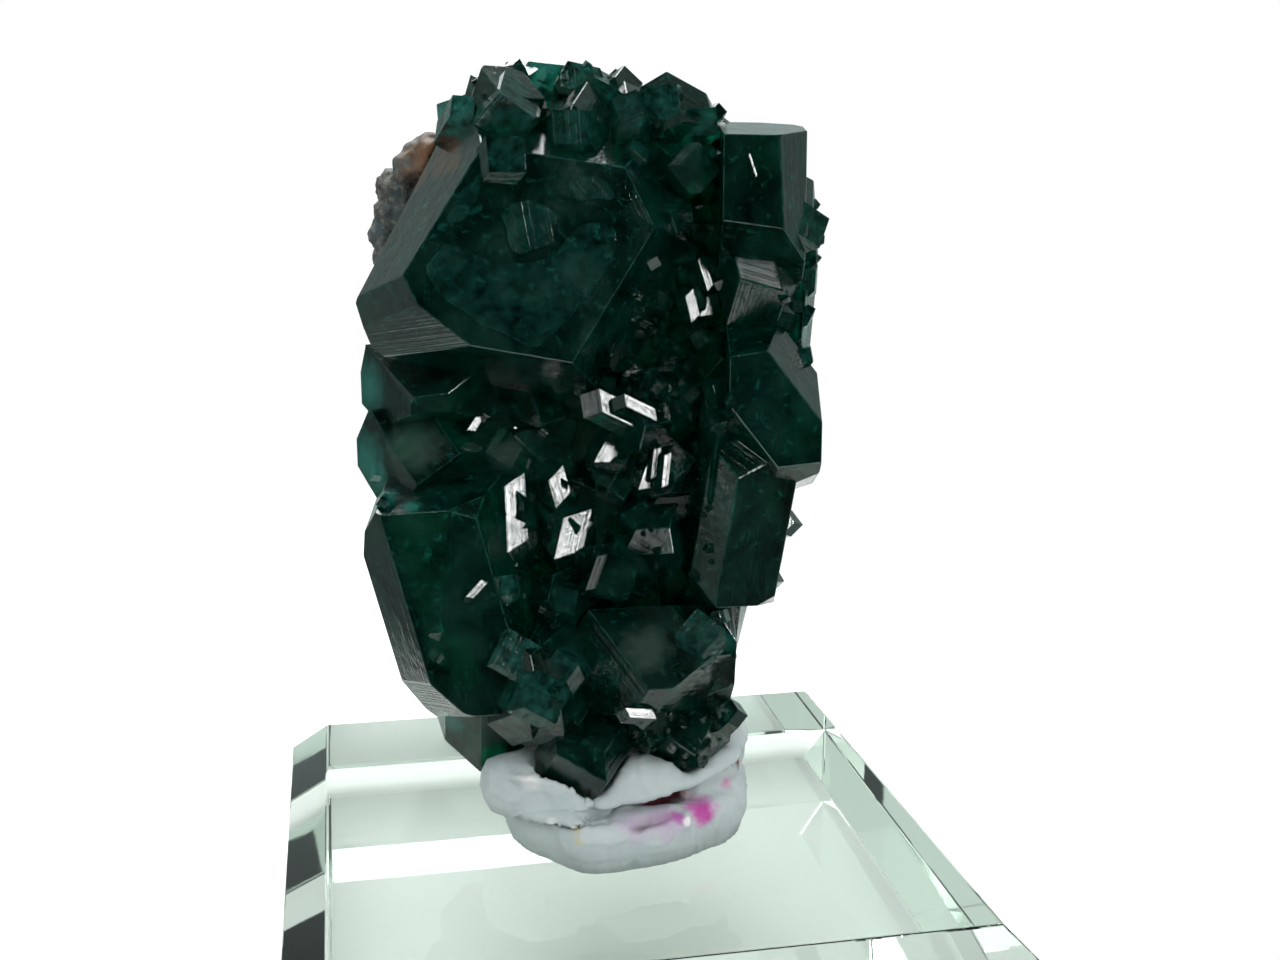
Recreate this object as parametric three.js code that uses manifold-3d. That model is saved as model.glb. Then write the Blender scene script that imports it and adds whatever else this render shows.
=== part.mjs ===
import * as THREE from 'three';
import { ConvexGeometry } from 'three/addons/geometries/ConvexGeometry.js';
import * as BufferGeometryUtils from 'three/addons/utils/BufferGeometryUtils.js';
import Module from 'manifold-3d';

const wasm = await Module();
wasm.setup();

// Sizes in millimetres. X is right, Y is away from the viewer, Z is up from the underside of the block.
const BLOCK_SIDE = 40;
const BLOCK_HEIGHT = 16;
const BLOCK_BEVEL = 2.5;

// Touching pieces keep this much clear of each other.
const GAP = 0.3;

// The cluster faces a viewer who stands a little to the left of the block's middle.
const CLUSTER_TURN_DEG = -11;

// Dioptase grows as six-sided prisms. Its three end faces lie this far off the long axis.
const END_FACE_TILT_DEG = 51;

// Points nearer than this are one point. Three faces that meet flatter than this share no corner.
const POINT_MERGE = 1e-3;
const FLATTEST_CORNER = 1e-4;
const ON_FACE = 1e-6;

const radians = THREE.MathUtils.degToRad;

// A direction as the viewer names it. turn is degrees to the right of straight at the viewer, and tilt
// is degrees up.
function direction(turn, tilt) {
  const flat = Math.cos(radians(tilt));
  return new THREE.Vector3(
    Math.sin(radians(turn)) * flat,
    -Math.cos(radians(turn)) * flat,
    Math.sin(radians(tilt)),
  );
}

// The corners of the convex body that a list of faces encloses. A face is a direction and a reach.
function cornersOf(faces) {
  const corners = [];
  const system = new THREE.Matrix3();
  for (let a = 0; a < faces.length; a++) {
    for (let b = a + 1; b < faces.length; b++) {
      for (let c = b + 1; c < faces.length; c++) {
        const [p, q, r] = [faces[a], faces[b], faces[c]];
        system.set(
          p.normal.x, p.normal.y, p.normal.z,
          q.normal.x, q.normal.y, q.normal.z,
          r.normal.x, r.normal.y, r.normal.z,
        );
        if (Math.abs(system.determinant()) < FLATTEST_CORNER) {
          continue;
        }
        const corner = new THREE.Vector3(p.reach, q.reach, r.reach).applyMatrix3(system.invert());
        const inside = faces.every((face) => face.normal.dot(corner) < face.reach + ON_FACE);
        const known = corners.some((other) => other.distanceTo(corner) < POINT_MERGE);
        if (inside && !known) {
          corners.push(corner);
        }
      }
    }
  }
  return corners;
}

// The twelve faces of a dioptase crystal: six sides, and three faces on each end.
// across is its width and deep its thickness at right angles to the long axis, along is tip to tip.
function crystalFaces({ lean = 0, nod = 0, spin = 0, across, deep = across, along }) {
  const pose = new THREE.Matrix4().makeRotationFromEuler(
    new THREE.Euler(radians(nod), radians(lean), radians(spin), 'YXZ'),
  );
  const faces = [];
  for (let side = 0; side < 6; side++) {
    const reach = side % 3 === 0 ? deep / 2 : (across / 2) * Math.sin(radians(60));
    faces.push({ normal: direction(side * 60, 0).applyMatrix4(pose), reach });
  }
  const endReach = (along / 2) * Math.cos(radians(END_FACE_TILT_DEG));
  for (let end = 0; end < 3; end++) {
    const top = direction(30 + end * 120, 90 - END_FACE_TILT_DEG);
    const bottom = direction(90 + end * 120, END_FACE_TILT_DEG - 90);
    faces.push({ normal: top.applyMatrix4(pose), reach: endReach });
    faces.push({ normal: bottom.applyMatrix4(pose), reach: endReach });
  }
  return faces;
}

// A crystal is its twelve faces and its cuts: extra faces, each [turn, tilt, share of the full reach].
// swell moves every face outwards, for the hollows that the crystals leave in what holds them.
function crystalSolid(crystal, swell = 0) {
  const faces = crystalFaces(crystal);
  const whole = cornersOf(faces);
  for (const [turn, tilt, share] of crystal.cuts ?? []) {
    const normal = direction(turn, tilt);
    const fullReach = Math.max(...whole.map((corner) => corner.dot(normal)));
    faces.push({ normal, reach: fullReach * share });
  }
  for (const face of faces) {
    face.reach += swell;
  }
  const geometry = new ConvexGeometry(cornersOf(faces));
  geometry.translate(...crystal.at);
  return solidOf(geometry);
}

function solidOf(geometry) {
  const bare = geometry.clone();
  bare.deleteAttribute('normal');
  bare.deleteAttribute('uv');
  const merged = BufferGeometryUtils.mergeVertices(bare, POINT_MERGE);
  return new wasm.Manifold(new wasm.Mesh({
    numProp: 3,
    vertProperties: merged.attributes.position.array,
    triVerts: new Uint32Array(merged.index.array),
  }));
}

function geometryOf(solid) {
  const mesh = solid.getMesh();
  const geometry = new THREE.BufferGeometry();
  geometry.setAttribute('position', new THREE.BufferAttribute(mesh.vertProperties, 3));
  geometry.setIndex(new THREE.BufferAttribute(mesh.triVerts, 1));
  geometry.computeVertexNormals();
  return geometry;
}

// Places are [right, away, up] from the middle of the block's underside, as the viewer sees the cluster.
// lean tips the long axis to the right, nod tips it towards the viewer, and spin turns the crystal on it.
const LARGE_CRYSTALS = [
  // Upper left, the largest: a broad dark face to the front and a pale end face below it.
  { at: [-5.1, -1.0, 49.5], lean: 32, nod: -13, across: 16.2, deep: 11, along: 27,
    cuts: [[-28, -30, 0.74], [-120, -50, 0.6], [-15, -62, 0.55], [20, 60, 0.66], [-95, 25, 0.78],
      [-90, -15, 0.78]] },
  // Left edge, under it: two blocks that lie on their sides.
  { at: [-10.4, -0.3, 42.6], lean: 82, spin: 8, across: 5.6, deep: 8, along: 10.5,
    cuts: [[-80, 0, 0.86], [-50, 0, 0.8], [-140, 0, 0.7]] },
  { at: [-11.3, -1.0, 38.7], lean: 88, spin: 22, across: 6, deep: 9, along: 9,
    cuts: [[-85, 0, 0.8], [-48, 0, 0.8], [-140, 0, 0.7]] },
  // Lower left: a long smooth face that runs down to the putty.
  { at: [-9.1, -3.4, 30.8], lean: -14, nod: 2, spin: 6, across: 8.8, deep: 6.6, along: 20,
    cuts: [[-45, -38, 0.78], [0, 70, 0.72], [10, -70, 0.75], [-90, 10, 0.94], [90, 0, 0.86]] },
  { at: [-7.9, -1.8, 23.2], lean: -48, nod: -6, spin: 28, across: 5.6, deep: 8, along: 8 },
  // Bottom, left to right: a stepped block, a banded crystal on its side, a point and a scaly end.
  { at: [-4.2, -4.6, 26.2], lean: 12, nod: -5, spin: 8, across: 6, deep: 8, along: 8.4,
    cuts: [[0, 75, 0.8]] },
  { at: [-5.4, -5.2, 24.9], lean: 12, nod: -5, spin: 8, across: 3.4, deep: 6, along: 5 },
  { at: [-2.7, -4.6, 24.6], lean: 12, nod: -5, spin: 8, across: 3.6, deep: 7.4, along: 5.4 },
  { at: [2.0, -3.8, 27.2], lean: 87, spin: 12, across: 6.8, deep: 9, along: 11,
    cuts: [[90, 0, 0.82], [-90, 0, 0.82]] },
  { at: [5.6, -3.4, 27.4], lean: 2, spin: 35, across: 2.4, deep: 6, along: 7 },
  { at: [-1.9, -4.8, 22.0], lean: -3, nod: -18, across: 5.6, deep: 5, along: 7 },
  { at: [4.1, -3.0, 22.4], lean: 62, spin: 15, across: 4.2, deep: 6.4, along: 6.4 },
  { at: [2.0, -3.8, 23.4], lean: 40, nod: 10, spin: 0, across: 3.4, deep: 5, along: 4.4 },
  // Upper right: a square block with a dark underside.
  { at: [7.6, -2.2, 53.2], lean: -4, spin: -8, across: 7, deep: 6.4, along: 15,
    cuts: [[0, 84, 0.49], [-15, -45, 0.56], [90, 0, 0.72], [-90, 0, 0.52]] },
  // Right side: a bright face that tilts up, a leaning crystal with a pale band, and a tall block.
  { at: [7.9, -1.6, 48.6], lean: -14, nod: -28, across: 4.6, deep: 4.4, along: 7, cuts: [[0, 70, 0.8]] },
  { at: [8.3, -3.4, 42.0], lean: -38, spin: 4, across: 6.6, deep: 5.6, along: 13.5,
    cuts: [[90, 0, 0.66], [-90, 0, 0.5], [40, -60, 0.8], [-20, 70, 0.72]] },
  { at: [5.9, -3.2, 38.9], lean: 6, spin: -12, across: 3, deep: 6, along: 9.5 },
  { at: [7.3, -3.4, 35.2], lean: 9, spin: -38, across: 5.6, deep: 6.2, along: 14,
    cuts: [[0, -80, 0.68], [90, 0, 0.86]] },
  { at: [5.9, -3.0, 32.8], lean: 0, spin: 20, across: 2.6, deep: 5, along: 6.4 },
  // Top edge, left to right.
  { at: [-8.3, 1.0, 56.7], lean: -50, across: 3, deep: 4, along: 4.6 },
  { at: [-5.9, -0.8, 57.6], nod: 78, spin: 5, across: 4.4, along: 8 },
  { at: [-6.0, 1.8, 58.9], lean: 76, across: 2.8, deep: 4, along: 5.6 },
  { at: [-3.1, 1.6, 59.1], lean: 96, spin: 20, across: 2.6, deep: 4, along: 5.4 },
  { at: [-2.3, -1.8, 56.4], lean: 15, spin: 20, across: 4.4, deep: 6.6, along: 6 },
  { at: [-2.0, -0.3, 58.7], lean: -20, spin: -15, across: 3.2, deep: 5, along: 3.8 },
  { at: [0.2, 0.2, 58.8], lean: 10, spin: 12, across: 2.4, deep: 4, along: 3 },
  { at: [0.9, -1.4, 57.3], lean: -12, spin: 30, across: 3.2, deep: 5, along: 4.2 },
  { at: [3.5, -0.4, 57.4], lean: -62, spin: -10, across: 3.8, deep: 6, along: 6 },
  { at: [3.9, -1.6, 54.8], lean: 88, across: 2.8, deep: 7, along: 5.4 },
  { at: [3.1, -2.4, 52.3], lean: -15, spin: 25, across: 2.6, deep: 6, along: 3.8 },
  { at: [1.3, -1.6, 55.4], lean: 20, spin: -10, across: 2.4, deep: 5, along: 3 },
  // Right edge.
  { at: [9.9, 1.0, 51.6], lean: -6, spin: 20, across: 3.4, deep: 5, along: 6.6 },
  { at: [10.2, 0.8, 46.6], lean: 4, spin: 10, across: 2.4, deep: 5, along: 7 },
];

// The small crystals that stand in the hollow in the middle of the front.
const HOLLOW_CRYSTALS = [
  { at: [1.9, -2.0, 41.4], lean: 40, spin: -12, across: 5.2, deep: 7, along: 7 },
  { at: [3.2, -2.2, 38.0], lean: 80, spin: 10, across: 3.6, deep: 6, along: 5 },
  { at: [-0.1, -2.2, 37.6], lean: -15, spin: -20, across: 2.9, deep: 6, along: 4.2 },
  { at: [2.4, -3.2, 34.0], lean: 25, spin: 30, across: 3.6, deep: 6, along: 5 },
  { at: [-0.3, -3.4, 32.2], lean: 82, spin: -8, across: 3.4, deep: 6, along: 5.8 },
  { at: [-5.6, -0.4, 39.0], lean: 88, spin: -25, across: 3.1, deep: 6, along: 5.4 },
  { at: [-5.8, -2.0, 35.6], lean: 0, nod: -20, spin: 18, across: 2.4, deep: 6, along: 4.6 },
  { at: [-3.1, -1.2, 36.8], lean: 4, nod: -14, spin: 6, across: 1.8, deep: 5, along: 3 },
  { at: [-2.4, -1.8, 34.5], lean: 24, nod: -16, spin: -10, across: 2.2, deep: 5, along: 3 },
  { at: [-4.2, -1.6, 34.9], lean: -4, spin: 14, across: 1.6, deep: 5, along: 3.2 },
  { at: [-6.6, -3.8, 31.0], lean: -8, spin: 15, across: 3.1, deep: 6, along: 5.2 },
  { at: [-3.2, -3.4, 30.6], lean: 30, spin: -10, across: 3.6, deep: 6, along: 5.2 },
  { at: [4.6, -0.2, 49.4], lean: -14, nod: -10, spin: 12, across: 1.8, deep: 4, along: 3.4 },
  { at: [4.2, -0.4, 46.8], lean: 20, nod: -6, spin: -16, across: 2.2, deep: 4, along: 3 },
  { at: [1.2, -0.2, 47.2], lean: -28, nod: 8, spin: 20, across: 3.4, deep: 4, along: 5 },
  { at: [-1.2, -0.6, 42.8], lean: 64, nod: -8, spin: 14, across: 2.8, deep: 4, along: 4.6 },
  { at: [-4.2, -0.8, 41.2], lean: -70, nod: 6, spin: -22, across: 2.4, deep: 4, along: 4 },
  { at: [5.2, 0.2, 43.6], lean: -10, nod: -12, spin: 24, across: 3, deep: 5, along: 5.2 },
  { at: [0.6, -0.6, 35.2], lean: 50, nod: 10, spin: -6, across: 2.4, deep: 4, along: 3.6 },
  { at: [-4.8, -1.0, 37.3], lean: 66, nod: -4, spin: 12, across: 1.8, deep: 4, along: 3 },
];

// The old broad crystals at the back, which carry the others.
const BACK_CRYSTALS = [
  { at: [-1.6, 2.6, 45.5], lean: 8, spin: 10, across: 17, deep: 7.2, along: 31,
    cuts: [[0, 80, 0.8], [0, -80, 0.8]] },
  { at: [-1.6, 2.2, 30.0], lean: -8, spin: -8, across: 14, deep: 8, along: 24, cuts: [[0, -80, 0.85]] },
  { at: [-6.4, 3.2, 50.4], lean: 24, nod: 10, spin: 14, across: 9, deep: 8, along: 14 },
  { at: [4.6, 3.4, 52.0], lean: -18, nod: 6, spin: -20, across: 8, deep: 7, along: 12 },
  { at: [-7.6, 3.2, 38.6], lean: -62, spin: 10, across: 8, deep: 8, along: 12 },
  { at: [5.0, 3.6, 41.6], lean: 12, nod: -8, spin: 18, across: 9, deep: 8, along: 15 },
  { at: [-5.6, 3.0, 29.0], lean: -20, nod: -6, spin: 24, across: 8, deep: 8, along: 14 },
  { at: [3.0, 3.0, 28.6], lean: 16, nod: -10, spin: -10, across: 8, deep: 8, along: 13 },
];

// Small crystals stand all over the back and the sides, in rows round the cluster.
const CRUST_ROWS = 7;
const CRUST_LOW = 25;
const CRUST_HIGH = 54;
const CRUST_TURNS_DEG = [88, 118, 150, 180, 210, 242];
const CRUST_SIZE = 4.4;
const CRUST_SHARES = { size: [0.6, 1.4], deep: [0.8, 1.1], along: [1.1, 1.6] };
const CRUST_LEAN_DEG = 25;
const CRUST_NOD_DEG = 20;
const SIDE_TURN_DEG = 60;
const CRUST_DEPTH = 7;
const CRUST_MIDDLE = [-1.4, 1.2];
const CRUST_SEED = 41;

// How far a crust crystal strays from its row: degrees of turn, and millimetres up or down.
const STRAY_TURN_DEG = 14;
const STRAY_UP = 3;

// The cluster is broadest at this height, and it closes towards both ends over this distance.
const BROADEST_AT = 42;
const CLOSES_OVER = 24;
const BROADEST = 11.2;
const NARROWEST_SHARE = 0.1;

// A repeatable draw between 0 and 1, so that the cluster is the same every time.
const DRAW_FACTOR = 16807;
const DRAW_RANGE = 2147483647;

function draws(seed) {
  let state = seed;
  return () => {
    state = (state * DRAW_FACTOR) % DRAW_RANGE;
    return state / DRAW_RANGE;
  };
}

// Half the width of the cluster at a height: narrow where the putty holds it, broad in the middle.
function halfWidth(height) {
  const fromMiddle = (height - BROADEST_AT) / CLOSES_OVER;
  return BROADEST * Math.sqrt(Math.max(NARROWEST_SHARE, 1 - fromMiddle * fromMiddle));
}

function crustCrystals() {
  const draw = draws(CRUST_SEED);
  const between = (low, high) => THREE.MathUtils.lerp(low, high, draw());
  const [middle, away] = CRUST_MIDDLE;
  const crust = [];
  for (let row = 0; row < CRUST_ROWS; row++) {
    const height = THREE.MathUtils.lerp(CRUST_LOW, CRUST_HIGH, row / (CRUST_ROWS - 1));
    for (const turn of CRUST_TURNS_DEG) {
      const outward = direction(turn + STRAY_TURN_DEG * between(-0.5, 0.5), 0);
      const size = CRUST_SIZE * between(...CRUST_SHARES.size);
      const up = height + STRAY_UP * between(-0.5, 0.5);
      const right = middle + outward.x * (halfWidth(up) - size / 2);
      crust.push({
        at: [right, away + outward.y * (CRUST_DEPTH - size / 2), up],
        lean: between(-CRUST_LEAN_DEG, CRUST_LEAN_DEG),
        nod: between(-CRUST_NOD_DEG, CRUST_NOD_DEG),
        spin: between(0, SIDE_TURN_DEG),
        across: size,
        deep: size * between(...CRUST_SHARES.deep),
        along: size * between(...CRUST_SHARES.along),
      });
    }
  }
  return crust;
}

const crystals = [...LARGE_CRYSTALS, ...HOLLOW_CRYSTALS, ...BACK_CRYSTALS, ...crustCrystals()];
const cluster = wasm.Manifold.union(crystals.map((crystal) => crystalSolid(crystal)));

// Everything that touches the cluster is hollowed by it, with the gap all round.
const hollow = wasm.Manifold.union(crystals.map((crystal) => crystalSolid(crystal, GAP)));

// The rest of the host rock: lumps along the upper left rim, each [right, away, up, radius].
const ROCK_LUMPS = [
  [-13.0, 1.0, 49.8, 1.0],
  [-13.1, 1.8, 50.9, 1.2],
  [-12.6, 1.2, 52.2, 1.1],
  [-12.3, 1.6, 53.4, 1.3],
  [-11.6, 0.8, 54.6, 1.0],
  [-10.6, 1.0, 55.2, 1.4],
  [-9.7, -0.2, 55.3, 1.1],
  [-11.6, 3.0, 50.4, 2.0],
  [-11.0, 3.2, 52.4, 2.2],
  [-10.0, 3.2, 54.4, 2.0],
];
const ROCK_SQUASH = 0.35;
const ROCK_SEED = 19;
const ROCK_DETAIL = 1;

function rockSolid() {
  const draw = draws(ROCK_SEED);
  const lumps = ROCK_LUMPS.map(([right, away, up, radius]) => {
    const lump = new THREE.IcosahedronGeometry(radius, ROCK_DETAIL);
    lump.scale(1 + ROCK_SQUASH * (draw() - 0.5), 1 + ROCK_SQUASH * (draw() - 0.5), 1);
    lump.rotateX(Math.PI * draw());
    lump.rotateZ(Math.PI * draw());
    lump.translate(right, away, up);
    return solidOf(lump);
  });
  return wasm.Manifold.union(lumps).subtract(hollow);
}

// The putty is folded double. Each layer is an outline of [right, away] points, a foot height and a
// thickness.
const PUTTY_ROUNDING = 1.1;
const ROUNDING_STEPS = 3;
const OUTLINE_STEPS = 32;
const PUTTY_LOWER = {
  foot: BLOCK_HEIGHT + GAP,
  thickness: 2.7,
  outline: [[-6.9, -2.2], [-6.3, -4.8], [-5.4, -6.5], [-3.9, -8.0], [-1.8, -9.2], [0.6, -9.3],
    [3.8, -8.4], [6.2, -6.4], [7.6, -3.4], [7.9, -0.6], [7.2, 3.2], [3.4, 6.0], [-2.6, 6.2],
    [-6.5, 3.0]],
};
const PUTTY_UPPER = {
  foot: BLOCK_HEIGHT + 2.5,
  thickness: 3.0,
  outline: [[-8.0, -3.0], [-7.2, -5.6], [-3.4, -6.9], [0.6, -6.6], [5.0, -5.4], [7.4, -1.4],
    [7.0, 3.4], [3.0, 6.2], [-2.8, 6.4], [-7.2, 3.4]],
};

function puttyLayer({ foot, thickness, outline }) {
  const corners = outline.map(([right, away]) => new THREE.Vector3(right, away, 0));
  const curve = new THREE.CatmullRomCurve3(corners, true);
  const points = curve.getPoints(OUTLINE_STEPS).slice(0, -1);
  const edge = points.map((point) => new THREE.Vector2(point.x, point.y));
  const geometry = new THREE.ExtrudeGeometry(new THREE.Shape(edge), {
    depth: thickness - 2 * PUTTY_ROUNDING,
    bevelEnabled: true,
    bevelSegments: ROUNDING_STEPS,
    bevelSize: PUTTY_ROUNDING,
    bevelOffset: -PUTTY_ROUNDING,
    bevelThickness: PUTTY_ROUNDING,
  });
  geometry.translate(0, 0, foot + PUTTY_ROUNDING);
  return solidOf(geometry);
}

function puttySolid() {
  return puttyLayer(PUTTY_LOWER).add(puttyLayer(PUTTY_UPPER)).subtract(hollow);
}

function mesh(name, geometry, color, roughness, metalness) {
  const part = new THREE.Mesh(geometry, new THREE.MeshStandardMaterial({ color, roughness, metalness }));
  part.name = name;
  return part;
}

function blockGeometry() {
  const half = BLOCK_SIDE / 2 - BLOCK_BEVEL;
  const outline = new THREE.Shape();
  outline.moveTo(-half, -half).lineTo(half, -half).lineTo(half, half).lineTo(-half, half).closePath();
  const geometry = new THREE.ExtrudeGeometry(outline, {
    depth: BLOCK_HEIGHT - 2 * BLOCK_BEVEL,
    bevelEnabled: true,
    bevelSegments: 1,
    bevelSize: BLOCK_BEVEL,
    bevelThickness: BLOCK_BEVEL,
  });
  geometry.translate(0, 0, BLOCK_BEVEL);
  return geometry;
}

const specimen = new THREE.Group();
const turned = new THREE.Group();
turned.rotation.z = radians(CLUSTER_TURN_DEG);
turned.add(mesh('dioptase_crystals', geometryOf(cluster), 0x0b5a48, 0.15, 0));
turned.add(mesh('matrix', geometryOf(rockSolid()), 0x8a7a62, 0.8, 0));
turned.add(mesh('putty', geometryOf(puttySolid()), 0xc9ced6, 0.7, 0));
specimen.add(turned);
specimen.add(mesh('display_block', blockGeometry(), 0xdfeeea, 0.03, 0));

export default specimen;
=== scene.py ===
# %% [markdown]
# # A dioptase cluster on a clear display block
# Dioptase is a deep green copper mineral that grows as short six-sided crystals. This specimen is
# a fist of them, pressed into folded putty on a bevelled block. The script starts from the solids
# of the real construction, keeps their sizes, and gives every surface its finish. The box of those
# solids is noted first, because the crystals added later are pressed down to its top. The box of
# those solids is noted first, because the finished model has to stay inside it.

# %% Load the solids
import bpy
import bmesh
import math
import random
from collections import Counter
from contextlib import contextmanager
from mathutils import Matrix, Vector, noise
from mathutils.bvhtree import BVHTree


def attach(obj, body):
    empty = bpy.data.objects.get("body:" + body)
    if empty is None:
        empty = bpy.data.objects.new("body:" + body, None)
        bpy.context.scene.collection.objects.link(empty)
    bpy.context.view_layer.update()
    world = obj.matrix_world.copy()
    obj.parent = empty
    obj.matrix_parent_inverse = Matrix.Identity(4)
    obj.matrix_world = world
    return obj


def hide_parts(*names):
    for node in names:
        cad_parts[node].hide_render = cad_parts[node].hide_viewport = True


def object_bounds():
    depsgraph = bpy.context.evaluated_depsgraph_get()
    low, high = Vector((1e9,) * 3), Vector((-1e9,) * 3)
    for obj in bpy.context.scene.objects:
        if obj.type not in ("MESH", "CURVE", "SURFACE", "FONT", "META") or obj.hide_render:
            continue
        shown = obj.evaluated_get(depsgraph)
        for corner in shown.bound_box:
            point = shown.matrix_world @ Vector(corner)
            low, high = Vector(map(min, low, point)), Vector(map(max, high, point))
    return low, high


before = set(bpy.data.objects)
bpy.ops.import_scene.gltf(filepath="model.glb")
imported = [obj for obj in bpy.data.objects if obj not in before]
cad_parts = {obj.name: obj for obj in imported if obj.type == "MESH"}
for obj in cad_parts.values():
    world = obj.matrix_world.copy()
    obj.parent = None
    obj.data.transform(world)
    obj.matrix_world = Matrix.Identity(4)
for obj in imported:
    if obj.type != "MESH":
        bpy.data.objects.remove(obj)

MM = 0.001
TO_MM = 1 / MM
solids_low, solids_high = [Vector(corner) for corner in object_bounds()]
print("solids:", sorted(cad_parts), "height", round(solids_high.z / MM, 1), "mm")

# %% [markdown]
# The cluster stands a few degrees turned to the left on its block, so it has directions of its own:
# right, away and up as the viewer sees them. One helper turns such a place, in millimetres, into
# the block's frame. It is used for everything whose place on the cluster is listed. Another adds
# an object to the scene.

# %% Places on the cluster
CLUSTER_TURN = math.radians(-11)
TURN = Matrix.Rotation(CLUSTER_TURN, 4, "Z")


def on_cluster(right, away, up):
    """A place in millimetres, as the viewer sees the cluster, in the block's frame in metres."""
    return TURN @ (Vector((right, away, up)) * MM)


def add_object(name, data):
    """A new object in the scene, made from a mesh, a lamp or a camera."""
    thing = bpy.data.objects.new(name, data)
    bpy.context.scene.collection.objects.link(thing)
    return thing


print("the cluster's right points to", [round(part, 2) for part in on_cluster(TO_MM, 0, 0)])

# %% [markdown]
# The camera stands close and a little to the left, and looks down by some 13 degrees. Its place was
# worked out from the edges of the square block, whose size is known. The clipping distance has to
# be shorter than usual, because the whole subject is only 60 mm high.

# %% Camera
CAMERA_PLACE = Vector((-15.64, -84.91, 56.47)) * MM
CAMERA_YAW = math.radians(11.35)
CAMERA_PITCH = math.radians(12.82)
CAMERA_ROLL = math.radians(0.13)
FOCAL_LENGTH_MM = 42.59
SENSOR_WIDTH_MM = 36
NEAREST, FARTHEST = 5 * MM, 20


def make_camera():
    """The camera of the photograph, with no shift and no depth of field."""
    data = bpy.data.cameras.new("photo_camera")
    data.sensor_width = SENSOR_WIDTH_MM
    data.lens = FOCAL_LENGTH_MM
    data.clip_start, data.clip_end = NEAREST, FARTHEST
    camera = add_object("photo_camera", data)
    look = Matrix.Rotation(-CAMERA_YAW, 4, "Z") @ Matrix.Rotation(math.pi / 2 - CAMERA_PITCH, 4, "X")
    camera.matrix_world = Matrix.Translation(CAMERA_PLACE) @ look @ Matrix.Rotation(CAMERA_ROLL, 4, "Z")
    bpy.context.scene.camera = camera


make_camera()
print("camera", round((CAMERA_PLACE - on_cluster(0, 0, 40)).length / MM), "mm from the cluster")

# %% [markdown]
# Surroundings and materials are made of shader nodes: small boxes that each work out one thing,
# joined by wires. These helpers do the wiring that repeats. Each places one node, fills its inputs
# with wires or plain values, and hands back its output, so that a finish reads like a sum.

# %% Wiring helpers


def fill(tree, slot, value):
    """Wires a socket to an input, or sets the input to a plain value."""
    if isinstance(value, bpy.types.NodeSocket):
        tree.links.new(value, slot)
    else:
        slot.default_value = (*value, 1) if slot.type == "RGBA" else value


def add_node(tree, kind, inputs=(), **settings):
    """Places a node with its settings, and fills its inputs, given by name or number."""
    node = tree.nodes.new(kind)
    for name, value in settings.items():
        setattr(node, name, value)
    for label, value in dict(inputs).items():
        fill(tree, node.inputs[label], value)
    return node


def calculate(tree, operation, *values, clamp=False):
    """One piece of arithmetic."""
    settings = {"operation": operation, "use_clamp": clamp}
    return add_node(tree, "ShaderNodeMath", enumerate(values), **settings).outputs["Value"]


def compare(tree, operation, *vectors):
    """A number from two vectors: their dot product or their distance."""
    node = add_node(tree, "ShaderNodeVectorMath", operation=operation)
    for slot, vector in zip(node.inputs, vectors):
        fill(tree, slot, vector)
    return node.outputs["Value"]


def between(tree, mask, low, high):
    """A number that goes from low to high with the mask."""
    ends = {"Value": mask, "To Min": low, "To Max": high}
    return add_node(tree, "ShaderNodeMapRange", ends).outputs["Result"]


def mix(tree, kind, share, first, second):
    """Something between two numbers (kind FLOAT) or two colours (kind RGBA)."""
    ends = {"Factor": share, "A": first, "B": second}
    return add_node(tree, "ShaderNodeMix", ends, data_type=kind).outputs["Result"]


def tint(tree, mask, low, high):
    """A colour that goes from low to high with the mask."""
    return mix(tree, "RGBA", mask, low, high)


def noise_field(tree, dimensions="3D", **values):
    """A noise texture, whose values lie round 0.5."""
    return add_node(tree, "ShaderNodeTexNoise", values, noise_dimensions=dimensions).outputs["Fac"]


def mark(tree, name, output="Fac"):
    """A mark that the mesh carries."""
    return add_node(tree, "ShaderNodeAttribute", attribute_name=name).outputs[output]


# %% [markdown]
# Glassy crystals show what surrounds them. In the photograph the table and the walls are white, and
# the side where the viewer stands is dark, so faces that look at the viewer stay deep green while
# the others carry a pale veil. The surroundings are a sky shader that is white all round but dark
# towards the viewer, with one darker patch behind at the left, as a shelf would make. Only first
# reflections see the dark, and in them white is a slightly greenish grey. A mesh room would do the
# same, but costs more light paths.

# %% Surroundings
DARK_SIDE = on_cluster(0.16, -0.9, 0.42).normalized()
DARK_EDGE, DARK_CORE = -0.6, 0.75
SHELF_SIDE = on_cluster(-0.85, 0.5, -0.2).normalized()
SHELF_EDGE, SHELF_CORE = 0.84, 0.97
SHELF_SHADE = 0.75
PLAIN_WHITE = (1.0, 1.0, 1.0)
ROOM_LIGHT = (0.85, 0.87, 0.86)
MIRRORED_WHITE = (0.43, 0.53, 0.51)
MIRRORED_DARK = (0.003, 0.005, 0.005)


def patch_mask(tree, heading, direction, edge, core):
    """A mask that is 1 round a direction and fades out where the dot product falls to edge."""
    towards = compare(tree, "DOT_PRODUCT", heading, direction)
    ends = {"Value": towards, "From Min": edge, "From Max": core}
    patch = add_node(tree, "ShaderNodeMapRange", ends, interpolation_type="SMOOTHSTEP")
    return patch.outputs["Result"]


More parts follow.
